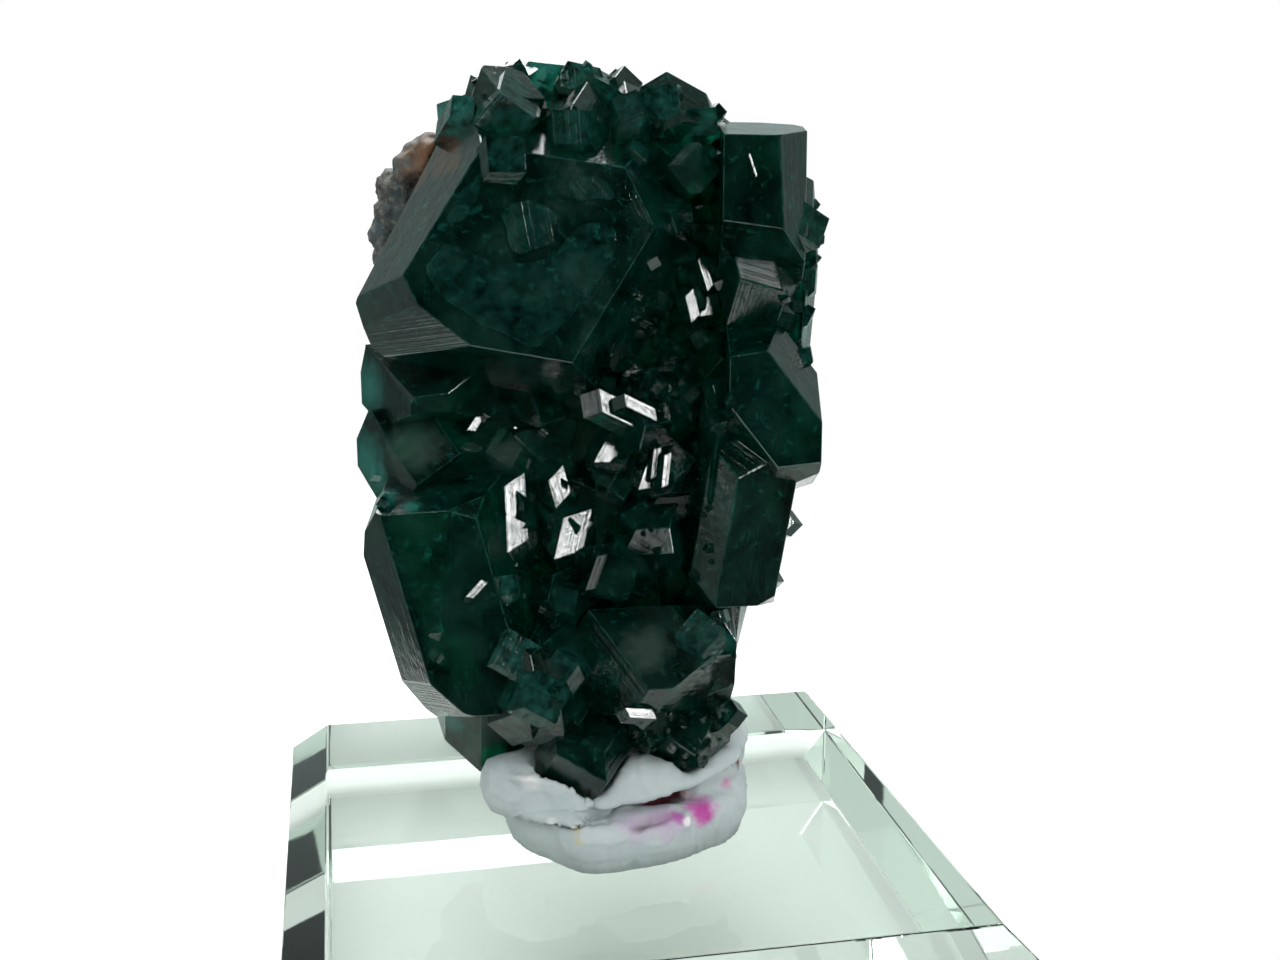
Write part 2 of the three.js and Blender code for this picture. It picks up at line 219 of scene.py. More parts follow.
def make_surroundings():
    """A white sky with dark patches that only reflections see. The viewer sees plain white behind."""
    world = bpy.data.worlds.new("white_room")
    bpy.context.scene.world = world
    world.use_nodes = True
    tree = world.node_tree
    tree.nodes.clear()
    heading = tree.nodes.new("ShaderNodeTexCoord").outputs["Generated"]
    viewer = patch_mask(tree, heading, DARK_SIDE, DARK_EDGE, DARK_CORE)
    shelf = patch_mask(tree, heading, SHELF_SIDE, SHELF_EDGE, SHELF_CORE)
    dark = calculate(tree, "MAXIMUM", viewer, calculate(tree, "MULTIPLY", shelf, SHELF_SHADE))
    rays = tree.nodes.new("ShaderNodeLightPath").outputs
    first = calculate(tree, "SUBTRACT", rays["Is Glossy Ray"], rays["Is Transmission Ray"], clamp=True)
    mirrored = tint(tree, dark, MIRRORED_WHITE, MIRRORED_DARK)
    light = tint(tree, first, ROOM_LIGHT, mirrored)
    room = add_node(tree, "ShaderNodeBackground", {"Color": light}).outputs["Background"]
    plain = add_node(tree, "ShaderNodeBackground", {"Color": PLAIN_WHITE}).outputs["Background"]
    choices = enumerate((rays["Is Camera Ray"], room, plain))
    choose = add_node(tree, "ShaderNodeMixShader", choices)
    add_node(tree, "ShaderNodeOutputWorld", {"Surface": choose.outputs["Shader"]})
    print("surroundings:", len(tree.nodes), "nodes")


make_surroundings()

# %% [markdown]
# Four soft lights and some daylight do the rest. One large light hangs above. A small strong one
# stands in front at the right: it is what the brightest little faces in the hollow mirror. Two
# faint ones, above the viewer and at the left, add smaller glints. All are aimed at the middle of
# the cluster. The daylight brightens matte things but leaves no mirror image in the facets.

# %% Lights
CLUSTER_MIDDLE = on_cluster(-1, -2, 38)
SPARK_SIDE, SPARK_DISTANCE = (0.55, -0.72, 0.43), 350
LAMPS = [
    # name, direction on the cluster, distance and size in millimetres, watts
    ("top_light", (-0.25, 0.75, 1.0), 450, 260, 1.6),
    ("right_light", SPARK_SIDE, SPARK_DISTANCE, 56, 0.31),
    ("upper_light", (-0.12, -0.65, 0.75), 350, 60, 0.06),
    ("left_light", (-0.85, -0.5, 0.1), 350, 110, 0.06),
]
DAYLIGHT_ANGLE, DAYLIGHT_LEAN, DAYLIGHT_NOD = [math.radians(angle) for angle in (70, 8, -6)]
DAYLIGHT_STRENGTH = 0.8


def add_lamp(name, direction, distance, size, watts):
    """A square soft light that faces the middle of the cluster."""
    data = bpy.data.lights.new(name, "AREA")
    data.size = size * MM
    data.energy = watts
    lamp = add_object(name, data)
    outward = on_cluster(*direction).normalized()
    lamp.location = CLUSTER_MIDDLE + outward * distance * MM
    lamp.rotation_mode = "QUATERNION"
    lamp.rotation_quaternion = outward.to_track_quat("Z", "Y")


def add_daylight():
    """Soft light from above that reflections don't see."""
    data = bpy.data.lights.new("daylight", "SUN")
    data.angle = DAYLIGHT_ANGLE
    data.energy = DAYLIGHT_STRENGTH
    lamp = add_object("daylight", data)
    lamp.rotation_euler = (DAYLIGHT_LEAN, DAYLIGHT_NOD, 0)
    lamp.visible_glossy = False


for row in LAMPS:
    add_lamp(*row)
add_daylight()
print(len(LAMPS), "lamps and daylight")

# %% [markdown]
# The floor is a plain pale card, not much wider than the block, on white all round. Were it larger,
# every facet that leans forward or sideways would mirror it and turn grey, which they don't do in
# the photograph. The clear block must not share a plane with the card, or light gets lost between
# the two, so the card lies a hair lower.

# %% Table
TABLE_FRONT, TABLE_BACK, TABLE_HALF_WIDTH = 42, 160, 42
TABLE_CLEARANCE = 0.05
TABLE_COLOUR, TABLE_ROUGHNESS = (0.86, 0.87, 0.86), 0.6


def make_floor():
    """A pale matte table top under the block."""
    low, high = -TABLE_FRONT * MM, TABLE_BACK * MM
    side, height = TABLE_HALF_WIDTH * MM, -TABLE_CLEARANCE * MM
    corners = [(-side, low, height), (side, low, height), (side, high, height), (-side, high, height)]
    mesh = bpy.data.meshes.new("floor")
    mesh.from_pydata(corners, [], [(0, 1, 2, 3)])
    paint = bpy.data.materials.new("pale_floor")
    paint.use_nodes = True
    coat = paint.node_tree.nodes["Principled BSDF"]
    coat.inputs["Base Color"].default_value = (*TABLE_COLOUR, 1)
    coat.inputs["Roughness"].default_value = TABLE_ROUGHNESS
    mesh.materials.append(paint)
    floor = add_object("floor", mesh)


make_floor()
bpy.context.scene.view_settings.view_transform = "Standard"
print("table", 2 * TABLE_HALF_WIDTH, "by", TABLE_FRONT + TABLE_BACK, "mm")

# %% [markdown]
# The finishes here share five effects. Mottling is soft clouds of one tone in another, as in stone,
# putty and cloudy crystal. Fine relief is grain with streaks, and growth lines run along a crystal's
# faces: both feed a bump. A spot mask is a ragged spot about a place, used for real stains and for
# painted reflections, glows and highlights, and the noise that frays the spots is an effect of its
# own, so that all spots of a material share one. Each effect is a node group with named inputs, so
# that a material only states how large and how strong it wants them.

# %% Shared effects
STREAK_SQUEEZE = (3.0, 3.0, 0.35)
FINE_GRAIN, FRAYING = TO_MM * 1.6, TO_MM * 1.8


def start_group(name, inputs, output, vectors=("Vector",)):
    """An empty group with vector inputs, number inputs with their usual values, and one output."""
    group = bpy.data.node_groups.new(name, "ShaderNodeTree")
    for label in vectors:
        group.interface.new_socket(label, in_out="INPUT", socket_type="NodeSocketVector")
    for label, value in inputs.items():
        socket = group.interface.new_socket(label, in_out="INPUT", socket_type="NodeSocketFloat")
        socket.default_value = value
    group.interface.new_socket(output, in_out="OUTPUT", socket_type="NodeSocketFloat")
    return group, group.nodes.new("NodeGroupInput").outputs


def finish_group(group, value):
    """Wires the result to the group's output."""
    fill(group, group.nodes.new("NodeGroupOutput").inputs[0], value)
    return group


def mottle_group():
    """Clouds: a mask from 0 to 1, with patches of about Size millimetres."""
    group, given = start_group("Mottle", {"Size": 2.0, "Contrast": 2.0, "Level": 0.5}, "Mask")
    form = {"Scale": calculate(group, "DIVIDE", TO_MM, given["Size"]), "Detail": 6}
    clouds = noise_field(group, Vector=given["Vector"], Roughness=0.6, Distortion=0.6, **form)
    above = calculate(group, "SUBTRACT", clouds, given["Level"])
    mask = calculate(group, "MULTIPLY_ADD", above, given["Contrast"], 0.5, clamp=True)
    return finish_group(group, mask)


def relief_group():
    """Fine relief: grain of Grain millimetres with fine streaks that run up the surface."""
    group, given = start_group("Fine relief", {"Grain": 0.4, "Streaks": 0.5}, "Height")
    scale = calculate(group, "DIVIDE", TO_MM, given["Grain"])
    ends = {"Vector": given["Vector"], "Scale": STREAK_SQUEEZE}
    squeezed = add_node(group, "ShaderNodeMapping", ends).outputs["Vector"]
    grain = noise_field(group, Vector=given["Vector"], Scale=scale, Detail=4)
    streaks = noise_field(group, Vector=squeezed, Scale=scale, Detail=2)
    return finish_group(group, mix(group, "FLOAT", given["Streaks"], grain, streaks))


def growth_group():
    """Growth lines: fine steps that run along each crystal face, over a faint grain."""
    group, given = start_group("Growth lines", {"Spacing": 0.3, "Depth": 0.5}, "Height")
    distance = compare(group, "DOT_PRODUCT", given["Vector"], mark(group, "across", "Vector"))
    scale = calculate(group, "DIVIDE", TO_MM, given["Spacing"])
    lines = noise_field(group, "1D", W=distance, Scale=scale, Detail=4)
    grain = noise_field(group, Vector=given["Vector"], Scale=FINE_GRAIN, Detail=5)
    return finish_group(group, mix(group, "FLOAT", given["Depth"], grain, lines))


def ragged_group():
    """The noise that frays the ragged spots, stains and painted light alike."""
    group, given = start_group("Ragged noise", {"Scale": FRAYING}, "Noise")
    fraying = noise_field(group, Vector=given["Vector"], Scale=given["Scale"], Detail=5)
    return finish_group(group, fraying)


def spot_mask_group():
    """A ragged spot: 1 within Reach millimetres of a place, fading out over Fade of that reach."""
    usual = {"Noise": 0.5, "Reach": 1.0, "Fade": 0.5, "Ragged": 0.4}
    group, given = start_group("Spot mask", usual, "Mask", ("Vector", "Place"))
    gap = compare(group, "DISTANCE", given["Vector"], given["Place"])
    gap = calculate(group, "DIVIDE", calculate(group, "MULTIPLY", gap, TO_MM), given["Reach"])
    swing = calculate(group, "SUBTRACT", given["Noise"], 0.5)
    swing = calculate(group, "MULTIPLY", swing, given["Ragged"])
    left = calculate(group, "SUBTRACT", 1.0, calculate(group, "ADD", gap, swing))
    return finish_group(group, calculate(group, "DIVIDE", left, given["Fade"], clamp=True))


MOTTLE, RELIEF, GROWTH = mottle_group(), relief_group(), growth_group()
RAGGED, SPOT_MASK = ragged_group(), spot_mask_group()
print("shared effects:", [group.name for group in (MOTTLE, RELIEF, GROWTH, RAGGED, SPOT_MASK)])

# %% [markdown]
# Every material below is a Principled shader with those effects plugged in. Four more helpers start
# a material, place an effect with its values, let a height bend the light as a bump, and let the
# body of a clear thing swallow light on its way through.

# %% Material helpers


def start_material(name):
    """A new material with its Principled shader and object coordinates."""
    material = bpy.data.materials.new(name)
    material.use_nodes = True
    tree = material.node_tree
    place = tree.nodes.new("ShaderNodeTexCoord").outputs["Object"]
    return material, tree, tree.nodes["Principled BSDF"], place


def effect(tree, group, place, **values):
    """Places a shared effect and fills its inputs by name."""
    values["Vector"] = place
    return add_node(tree, "ShaderNodeGroup", values, node_tree=group).outputs[0]


def bump(tree, shader, height, strength, depth_mm):
    """Bends the light of a shader by a height, as relief of that depth would."""
    values = {"Strength": strength, "Distance": depth_mm * MM, "Height": height}
    fill(tree, shader.inputs["Normal"], add_node(tree, "ShaderNodeBump", values).outputs["Normal"])


def absorb(tree, colour, density):
    """Plain absorption inside the body, with its density per metre."""
    values = {"Color": colour, "Density": density}
    depth = add_node(tree, "ShaderNodeVolumeAbsorption", values)
    fill(tree, tree.nodes["Material Output"].inputs["Volume"], depth.outputs["Volume"])


# %% [markdown]
# Dioptase is as green as emerald but darker, and full of veils and flaws. Thin edges glow teal,
# while a few millimetres of it are nearly black. So the body absorbs light as it passes, red most,
# and a part of the surface stays unclear and scatters green, as flawed crystal does. The mark
# paleness on a face says how much of the deep green it lacks, and noise breaks that up. The
# paleness is painted light: painted highlights on the chamfered edges and growth-step rims, and a
# painted lighter tone on the crystals that the light catches and shines through.

# Ragged spots do the rest. Some faces carry a painted reflection: a grey-green veil of mirrored
# light painted into their colour. Where a crystal ends in a thin wedge, as at the left edge and
# along the top, it is clearer, and the teal glow of light shining through from behind is painted on
# as well. On the upper left corner a film of brown rock has stayed on it.

# %% Dioptase
DEEP_GREEN, CLOUDY_GREEN = (0.0003, 0.012, 0.0085), (0.003, 0.095, 0.064)
SPECK_GREEN, PALE_GREEN = (0.02, 0.28, 0.21), (0.06, 0.42, 0.34)
PAINTED_REFLECTION_GREEN, CLEAR_GLOW_GREEN = (0.09, 0.2, 0.16), (0.06, 0.55, 0.44)
ROCK_FILM = (0.16, 0.075, 0.035)
DEPTH_COLOUR, DEPTH_DENSITY = (0.02, 0.74, 0.66), 1200
BREAK_LOW, BREAK_HIGH = -2.25, 4.0
# place on the cluster, reach in millimetres
# Painted reflection: spots of a grey-green veil that stands for mirrored light.
PAINTED_REFLECTION_SPOTS = [
    ((-11.6, -4.2, 28.2), 2.6),
    ((-11.2, -3.6, 39.7), 1.9),
    ((-6.3, -2.2, 38.9), 1.2),
    ((-4.2, -6.4, 27.1), 1.6),
    ((1.7, -6.5, 28.6), 1.7),
]
# Clearer spots on thin wedges, which let more light through, with a painted teal glow of light from
# behind.
CLEAR_GLOW_SPOTS = [
    ((-14.4, -1.8, 38.3), 2.2),
    ((-14.3, -1.0, 42.4), 2.0),
    ((-12.7, -5.4, 36.9), 1.0),
    ((-13.5, -2.6, 37.5), 1.1),
    ((-11.1, -6.4, 36.8), 0.7),
    ((-9.4, 0.2, 57.5), 1.9),
    ((-7.0, 0.8, 59.3), 1.6),
    ((-4.2, 0.4, 60.0), 1.7),
    ((-1.6, 0.0, 60.0), 1.1),
    ((-9.6, -4.0, 23.4), 1.1),
    ((6.3, -4.8, 28.6), 0.8),
    ((11.4, 0.6, 48.3), 0.9),
    ((10.8, -0.6, 45.6), 0.8),
    ((9.6, -1.0, 51.8), 1.0),
]
BROWN_SPOTS = [((-9.2, -3.2, 55.4), 1.5), ((-8.4, -4.2, 54.9), 0.8), ((-10.6, -2.4, 54.2), 0.9)]
SPOT_KINDS = [
    # spots, share that fades, raggedness, colour
    (PAINTED_REFLECTION_SPOTS, 0.6, 1.0, PAINTED_REFLECTION_GREEN),
    (CLEAR_GLOW_SPOTS, 0.8, 0.7, CLEAR_GLOW_GREEN),
    (BROWN_SPOTS, 0.4, 1.0, ROCK_FILM),
]


def dioptase_material():
    """Deep green crystal: see-through where thin, cloudy inside, glassy outside."""
    material, tree, shader, place = start_material("dioptase")
    clouds = effect(tree, MOTTLE, place, Size=2.6, Contrast=3.0, Level=0.5)
    specks = effect(tree, MOTTLE, place, Size=0.5, Contrast=6.0, Level=0.66)
    frayed = effect(tree, RAGGED, place)
    body = tint(tree, clouds, DEEP_GREEN, CLOUDY_GREEN)
    body = tint(tree, specks, body, SPECK_GREEN)
    broken = between(tree, frayed, BREAK_LOW, BREAK_HIGH)
    # Painted light: the mark paleness paints highlights and lit crystals towards pale green.
    body = tint(tree, calculate(tree, "MULTIPLY", mark(tree, "paleness"), broken), body, PALE_GREEN)
    # The spots lay on painted reflections, painted glow and the real film of rock.
    for spots, fade, ragged, colour in SPOT_KINDS:
        look = {"Noise": frayed, "Fade": fade, "Ragged": ragged}
        for spot, reach in spots:
            mask = effect(tree, SPOT_MASK, place, Place=on_cluster(*spot), Reach=reach, **look)
            body = tint(tree, mask, body, colour)
    fill(tree, shader.inputs["Base Color"], body)
    fill(tree, shader.inputs["Roughness"], between(tree, clouds, 0.06, 0.2))
    shader.inputs["IOR"].default_value = 1.66
    shader.inputs["Specular IOR Level"].default_value = 0.25
    shader.inputs["Transmission Weight"].default_value = 0.84
    bump(tree, shader, effect(tree, GROWTH, place, Spacing=0.22, Depth=0.4), 0.6, 0.09)
    absorb(tree, DEPTH_COLOUR, DEPTH_DENSITY)
    print("dioptase:", len(tree.nodes), "nodes")
    return material


DIOPTASE = dioptase_material()

# %% [markdown]
# The block is cast and polished, with a faint green tint in its depth and hair-fine wear on top.

# %% Clear block
BLOCK_COLOUR, BLOCK_DEPTH_COLOUR, BLOCK_DENSITY = (0.98, 0.995, 0.985), (0.88, 0.94, 0.9), 45


def clear_block_material():
    """Clear block with a faint green depth and a polished surface."""
    material, tree, shader, place = start_material("clear_block")
    haze = effect(tree, MOTTLE, place, Size=6.0, Contrast=3.0, Level=0.55)
    shader.inputs["Base Color"].default_value = (*BLOCK_COLOUR, 1)
    fill(tree, shader.inputs["Roughness"], between(tree, haze, 0.01, 0.05))
    shader.inputs["IOR"].default_value = 1.5
    shader.inputs["Transmission Weight"].default_value = 1.0
    bump(tree, shader, effect(tree, RELIEF, place, Grain=3.0, Streaks=0.1), 0.05, 0.05)
    absorb(tree, BLOCK_DEPTH_COLOUR, BLOCK_DENSITY)
    print("clear block:", len(tree.nodes), "nodes")
    return material


CLEAR_BLOCK = clear_block_material()

# %% [markdown]
# Mineral putty is matte and slightly greasy. It is pale blue-grey here. An older, strongly coloured
# piece has rubbed off on it: there is a magenta patch at the lower right, lilac smears to the left
# of that and one yellowish streak. The flaps that stand out carry painted highlights: pale spots,
# and a white one on the flap beside the magenta patch. Each is a ragged spot about a place on the
# front, listed with its reach and colour, and its depth is found once the putty has its shape. The
# slit above them is painted dark maroon inside: painted shade over the maroon of the older putty.
# It has a mark of its own on the mesh.

# %% Putty
PUTTY_DARK, PUTTY_PALE, SLIT_SHADE_MAROON = (0.36, 0.42, 0.43), (0.46, 0.52, 0.52), (0.07, 0.006, 0.014)
STAINS_AND_HIGHLIGHTS = [
    # right, up, reach in millimetres, share that fades, raggedness, colour
    (1.0, 18.6, 1.5, 0.9, 0.9, (0.43, 0.37, 0.48)),
    (2.8, 18.5, 1.4, 0.8, 0.9, (0.42, 0.3, 0.46)),
    (4.9, 18.7, 1.35, 0.6, 0.9, (0.47, 0.17, 0.4)),
    (5.0, 18.5, 0.85, 0.7, 0.9, (0.42, 0.05, 0.29)),
    (3.5, 18.6, 0.6, 0.7, 0.8, (0.4, 0.12, 0.36)),
    (6.5, 19.2, 0.6, 0.9, 0.9, (0.5, 0.27, 0.4)),
    # painted highlight: the flap beside the magenta patch painted white
    (4.0, 19.0, 0.35, 0.5, 0.6, (0.7, 0.68, 0.7)),
    (4.15, 18.5, 0.38, 0.5, 0.6, (0.7, 0.68, 0.7)),
    (-2.1, 18.6, 0.4, 0.8, 0.8, (0.5, 0.48, 0.34)),
    (-2.1, 18.1, 0.4, 0.8, 0.8, (0.5, 0.48, 0.34)),
    # painted highlights on the flaps at the left
    (-4.9, 20.9, 0.9, 0.7, 0.9, (0.64, 0.66, 0.66)),
    (-3.5, 18.7, 0.45, 0.7, 0.9, (0.64, 0.66, 0.66)),
    (7.2, 20.2, 0.9, 1.0, 1.6, (0.14, 0.09, 0.085)),
    # painted highlight on the curled right end
    (6.6, 20.2, 0.3, 0.9, 1.2, (0.64, 0.64, 0.64)),
]
stain_and_highlight_nodes = []


def putty_material():
    """Matte pale putty with soft mottling, the stains, painted highlights on the flaps and painted
    shade in the slit.
    """
    material, tree, shader, place = start_material("mineral_putty")
    clouds = effect(tree, MOTTLE, place, Size=3.0, Contrast=2.0, Level=0.5)
    frayed = effect(tree, RAGGED, place)
    colour = tint(tree, clouds, PUTTY_DARK, PUTTY_PALE)
    for _, _, reach, fade, ragged, paint in STAINS_AND_HIGHLIGHTS:
        mask = effect(tree, SPOT_MASK, place, Noise=frayed, Reach=reach, Fade=fade, Ragged=ragged)
        stain_and_highlight_nodes.append(mask.node)
        colour = tint(tree, mask, colour, paint)
    # Painted shade: the slit is painted dark, over the maroon of the older putty.
    colour = tint(tree, mark(tree, "slit"), colour, SLIT_SHADE_MAROON)
    fill(tree, shader.inputs["Base Color"], colour)
    fill(tree, shader.inputs["Roughness"], between(tree, clouds, 0.5, 0.7))
    shader.inputs["Subsurface Weight"].default_value = 0.1
    shader.inputs["Subsurface Scale"].default_value = 0.3 * MM
    bump(tree, shader, effect(tree, RELIEF, place, Grain=0.45, Streaks=0.1), 0.4, 0.1)
    print("putty:", len(stain_and_highlight_nodes), "stains")
    return material


PUTTY = putty_material()

# %% [markdown]
# A rest of the host rock clings to the upper left rim: brown and grey, with blue-grey bumps and one
# rusty patch.

# %% Host rock
STONE_BROWN, STONE_BLUE, STONE_GRAIN = (0.05, 0.04, 0.03), (0.05, 0.08, 0.085), (0.15, 0.16, 0.14)
RUST, RUST_PLACE = (0.15, 0.07, 0.03), on_cluster(-9.6, -1.0, 55.6)


def host_rock_material():
    """Rough brown and blue-grey rock."""
    material, tree, shader, place = start_material("host_rock")
    patches = effect(tree, MOTTLE, place, Size=1.6, Contrast=4.0, Level=0.5)
    grains = effect(tree, MOTTLE, place, Size=0.4, Contrast=5.0, Level=0.58)
    stone = tint(tree, patches, STONE_BROWN, STONE_BLUE)
    stone = tint(tree, grains, stone, STONE_GRAIN)
    look = {"Noise": effect(tree, RAGGED, place), "Reach": 3.4, "Fade": 0.8, "Ragged": 1.4}
    rusty = effect(tree, SPOT_MASK, place, Place=RUST_PLACE, **look)
    fill(tree, shader.inputs["Base Color"], tint(tree, rusty, stone, RUST))
    fill(tree, shader.inputs["Roughness"], between(tree, grains, 0.55, 0.8))
    bump(tree, shader, effect(tree, RELIEF, place, Grain=0.4, Streaks=0.1), 0.6, 0.15)
    print("host rock:", len(tree.nodes), "nodes")
    return material


HOST_ROCK = host_rock_material()

# %% [markdown]
# Each solid is copied into a visible piece, so that its shape can be refined without touching the
# solid itself. The copy stands for the solid and rides on the same body. The file keeps the corners
# of every triangle apart, so they are welded, and flat faces become whole.

# %% Copy a solid into a piece
WELD = 0.002
FLAT = math.radians(0.3)


@contextmanager
def editing(mesh):
    """Opens a mesh for editing, and writes it back at the end."""
    shape = bmesh.new()
    shape.from_mesh(mesh)
    yield shape
    shape.to_mesh(mesh)
    shape.free()


def piece_from(node, name, material):
    """A visible copy of a solid, with flat faces and its own material."""
    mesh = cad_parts[node].data.copy()
    mesh.name = name
    mesh.materials.clear()
    mesh.materials.append(material)
    piece = add_object(name, mesh)
    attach(piece, "root")
    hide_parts(node)
    return piece


def weld(piece):
    """Joins the corners that the file keeps apart and makes each face one flat polygon."""
    with editing(piece.data) as shape:
        bmesh.ops.remove_doubles(shape, verts=shape.verts, dist=WELD * MM)
        bmesh.ops.dissolve_limit(shape, angle_limit=FLAT, verts=shape.verts, edges=shape.edges)
        for face in shape.faces:
            face.smooth = False
    print(piece.name, len(piece.data.polygons), "faces")


crystals = piece_from("dioptase_crystals", "crystal_cluster", DIOPTASE)
rock = piece_from("matrix", "rock_rim", HOST_ROCK)
putty = piece_from("putty", "putty_folds", PUTTY)
block = piece_from("display_block", "clear_block", CLEAR_BLOCK)
for piece in (crystals, rock, putty, block):
    weld(piece)

# %% [markdown]
# The solids of the construction are coarse: a crystal there is a bare polyhedron. The refinements
# below all need to know where the surface is, so one helper aims a ray at the cluster from a side
# of the viewer's choice and reports the point, the outward normal and the face that it meets.

# %% Rays onto the cluster
FAR = 80


def tree_of(piece):
    """A search tree of the piece's faces."""
    mesh = piece.data
    corners = [vertex.co.copy() for vertex in mesh.vertices]
    return BVHTree.FromPolygons(corners, [list(face.vertices) for face in mesh.polygons])


def aim(tree, start, towards):
    """Where a ray meets the cluster: point, normal and face, or None. Places are on the cluster."""
    origin = on_cluster(*start)
    heading = (on_cluster(*towards) - origin).normalized()
    point, normal, face, _ = tree.ray_cast(origin, heading)
    if point is None:
        return None
    return point, (normal if normal.dot(heading) < 0 else -normal), face


def front_hit(tree, right, up):
    """Where the viewer's side of the surface is, at a place right and up."""
    return aim(tree, (right, -FAR, up), (right, 0, up))


middle_front = front_hit(tree_of(crystals), 0, 40)[0] / MM
print("the surface in front of the middle is at", [round(part, 1) for part in middle_front], "mm")

# %% [markdown]
# A real crystal edge is never perfectly sharp, and light gathers in it: on this specimen the long
# edges are pale lines. They are chamfered a little here, and the chamfers are painted paler than
# the faces, as a painted highlight.
# For now a face's paleness, in twentieths, is kept as its material number, which joining preserves.
# Only long, outward edges between fair-sized faces take part, so the chamfer can't run into the fine
# steps where crystals meet.

# %% Chamfer the long edges
CHAMFER = 0.05
LONG_EDGE = 1.2
FAIR_FACE = 1.2
SHARP = math.radians(14)
EDGE_HIGHLIGHT_PALENESS = 0.3
PALE_STEPS = 20


def is_long_edge(edge):
    """Whether an edge is long, sharp and outward, between fair-sized faces."""
    return (
        edge.calc_length() > LONG_EDGE * MM
        and edge.is_manifold
        and edge.is_convex
        and edge.calc_face_angle() > SHARP
        and min(face.calc_area() for face in edge.link_faces) > FAIR_FACE * MM**2
    )


def bevel(shape, edges, width, steps, **settings):
    """Bevels edges by a width in millimetres."""
    size = {"offset": width * MM, "segments": steps, "affect": "EDGES"}
    return bmesh.ops.bevel(shape, geom=edges, **size, **settings)


def chamfer_edges(piece):
    """Chamfers the long edges, with faces painted paler as a painted highlight."""
    with editing(piece.data) as shape:
        chosen = [edge for edge in shape.edges if is_long_edge(edge)]
        for face in shape.faces:
            face.material_index = 0
        # Painted highlight: the chamfer faces get this paleness.
        paleness = round(EDGE_HIGHLIGHT_PALENESS * PALE_STEPS)
        made = bevel(shape, chosen, CHAMFER, 1, clamp_overlap=False, material=paleness)
        for face in shape.faces:
            face.smooth = False
        print(len(chosen), "edges chamfered,", len(made["faces"]), "faces made")


def open_edges(piece):
    """How many edges don't join exactly two faces: none, on a closed shape."""
    uses = Counter(key for face in piece.data.polygons for key in face.edge_keys)
    return sum(1 for count in uses.values() if count != 2)


chamfer_edges(crystals)
print("open edges:", open_edges(crystals))

# %% [markdown]
# Between the large crystals sits a crust of small ones, a few tenths of a millimetre to a
# millimetre across. Each is a short six-sided prism with three rhombic faces at either end, as the
# mineral grows. Its fourteen corners and twelve faces are worked out once, and every added crystal
# is the same form, turned and stretched.

# %% One crystal
STEEP_POINT = 1.235
FLAT_POINT = 0.617


def crystal_corners(radius, half_length):
    """Corners of one crystal: two tips, then six upper and six lower corners."""
    corners = [Vector((0, 0, half_length)), Vector((0, 0, -half_length))]
    for side, drops in ((1, (STEEP_POINT, FLAT_POINT)), (-1, (FLAT_POINT, STEEP_POINT))):
        for turn in range(6):
            angle = math.radians(60 * turn)
            height = side * (half_length - drops[turn % 2] * radius)
            corners.append(Vector((radius * math.cos(angle), radius * math.sin(angle), height)))
    return corners


def crystal_faces():
    """Twelve faces: three rhombs at the upper tip, six sides and three rhombs at the lower tip."""
    upper = [2 + turn for turn in range(6)]
    lower = [8 + turn for turn in range(6)]
    faces = [(0, upper[turn - 1], upper[turn], upper[(turn + 1) % 6]) for turn in (0, 2, 4)]
    faces += [(upper[t], lower[t], lower[(t + 1) % 6], upper[(t + 1) % 6]) for t in range(6)]
    faces += [(1, lower[(turn + 1) % 6], lower[turn], lower[turn - 1]) for turn in (1, 3, 5)]
    return faces


CORNERS = 14
CRYSTAL_FACES = crystal_faces()


def crystal_mesh(name, corners, paleness=0.0):
    """One mesh from the corners of one crystal or several. The material number says how pale."""
    firsts = range(0, len(corners), CORNERS)
    faces = [tuple(first + index for index in face) for first in firsts for face in CRYSTAL_FACES]
    mesh = bpy.data.meshes.new(name)
    mesh.from_pydata(corners, [], faces)
    for face in mesh.polygons:
        face.material_index = round(paleness * PALE_STEPS)
    return mesh


def batch_mesh(name, placed):
    """One mesh of several crystals, each given by its place, axis, spin, radius and half length."""
    corners = []
    for place, axis, spin, radius, half_length in placed:
        turn = axis.to_track_quat("Z", "Y").to_matrix() @ Matrix.Rotation(spin, 3, "Z")
        corners += [place + turn @ corner for corner in crystal_corners(radius, half_length)]
    return crystal_mesh(name, corners)


print("a crystal has", len(CRYSTAL_FACES), "faces")

# %% [markdown]
# Additions are joined to the cluster by a boolean modifier, which drops every face that would lie
# inside, so that the result stays one closed body. It needs closed meshes whose parts don't cross.
# So the small crystals are sorted into batches whose members keep clear of one another.

# %% Join crystals to the cluster


def apply_modifiers(piece):
    """Turns the piece's modifiers into plain mesh."""
    bpy.context.view_layer.update()
    graph = bpy.context.evaluated_depsgraph_get()
    mesh = bpy.data.meshes.new_from_object(piece.evaluated_get(graph))
    piece.modifiers.clear()
    piece.data = mesh


def fuse(piece, addition):
    """Joins a closed mesh to the piece as one body."""
    tool = add_object("addition", addition)
    union = piece.modifiers.new("union", "BOOLEAN")
    union.operation = "UNION"
    union.solver = "MANIFOLD"
    union.object = tool
    apply_modifiers(piece)
    bpy.data.objects.remove(tool)


def batches_of(placed):
    """Splits crystals into groups whose members keep clear of one another."""
    groups = []
    for crystal in placed:
        reach = max(crystal[3], crystal[4])
        for group in groups:
            if all((crystal[0] - other[0]).length > reach + max(other[3], other[4]) for other in group):
                group.append(crystal)
                break
        else:
            groups.append([crystal])
    return groups


# %% [markdown]
# Where the small crystals sit is read off the specimen: in the deep hollow, between the blocks
# below it, along the top, down the right edge, in the scaly patch at the lower right, and all over
# the back. Each place is a window, in millimetres, with the number of crystals and their sizes.
# Large clean faces are left free, as on the specimen, except for the walls of the hollow.

